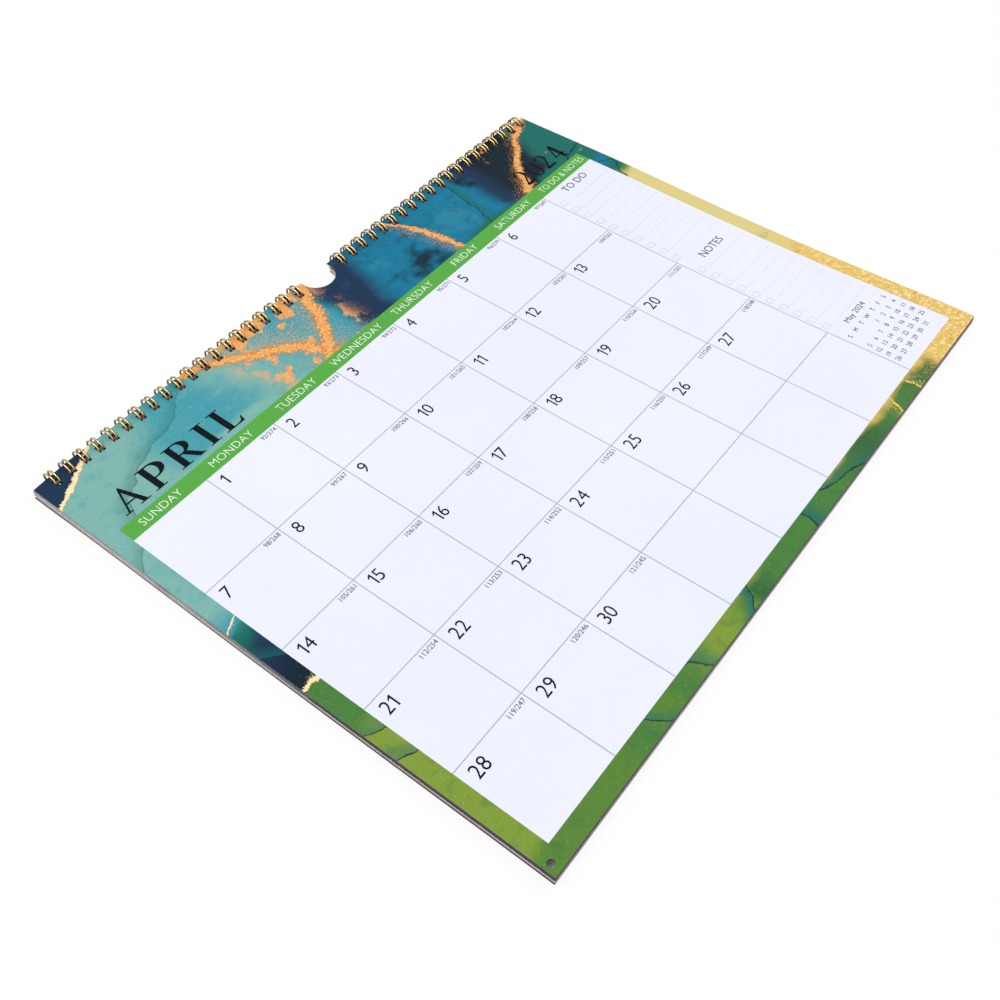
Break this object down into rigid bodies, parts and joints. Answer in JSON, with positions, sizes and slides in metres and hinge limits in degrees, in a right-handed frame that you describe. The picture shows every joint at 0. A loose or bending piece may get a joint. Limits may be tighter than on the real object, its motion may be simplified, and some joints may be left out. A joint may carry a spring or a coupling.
{
  "type": "wall calendar",
  "caption": "Wire-bound wall calendar lying open at one month, with turning leaves and cover on gold twin-loop wires, a stiff back board and a half-round thumb notch.",
  "frame": {"origin": "under the middle of the calendar's outline, on the surface that it lies on", "axes": "+X to the right along the leaves, +Y up the page to the bound edge, +Z out of the open page"},
  "size_m": [0.3732, 0.2992, 0.0101],
  "materials": {
    "leaf_paper": "smooth coated white paper",
    "block_paper": "white paper seen on its cut edges",
    "grey_board": "solid grey board",
    "cover_paper": "printed card cover",
    "turned_paper": "white paper",
    "gold_wire": "bright gold-coloured coated wire",
    "border_ink": "printed teal, green and gold marbling",
    "green_ink": "printed flat green",
    "grey_ink": "printed thin grey lines"
  },
  "bodies": {
    "binding": {"back_board": "grey_board", "wire_left": "gold_wire", "wire_right": "gold_wire"},
    "page_block": {"remaining_leaves": "block_paper"},
    "top_page": {"open_leaf": "leaf_paper", "border_print": "border_ink", "weekday_band": "green_ink", "date_grid": "grey_ink"},
    "cover": {"front_cover": "cover_paper"},
    "turned_pages": {"turned_leaves": "turned_paper"}
  },
  "joints": [
    {"name": "page_block_turn", "type": "hinge", "parent": "binding", "child": "page_block", "pos_m": [0.00245, 0.14599, 0.00503], "axis": [-1, 0, 0], "range_deg": [0, 180]},
    {"name": "top_page_turn", "type": "hinge", "parent": "page_block", "child": "top_page", "pos_m": [0.00245, 0.14599, 0.00503], "axis": [-1, 0, 0], "range_deg": [0, 180]},
    {"name": "cover_turn", "type": "hinge", "parent": "binding", "child": "cover", "pos_m": [0.00245, 0.14458, 0.00533], "axis": [1, 0, 0], "range_deg": [0, 180]},
    {"name": "turned_pages_turn", "type": "hinge", "parent": "cover", "child": "turned_pages", "pos_m": [0.00245, 0.14458, 0.00533], "axis": [1, 0, 0], "range_deg": [0, 180]}
  ]
}
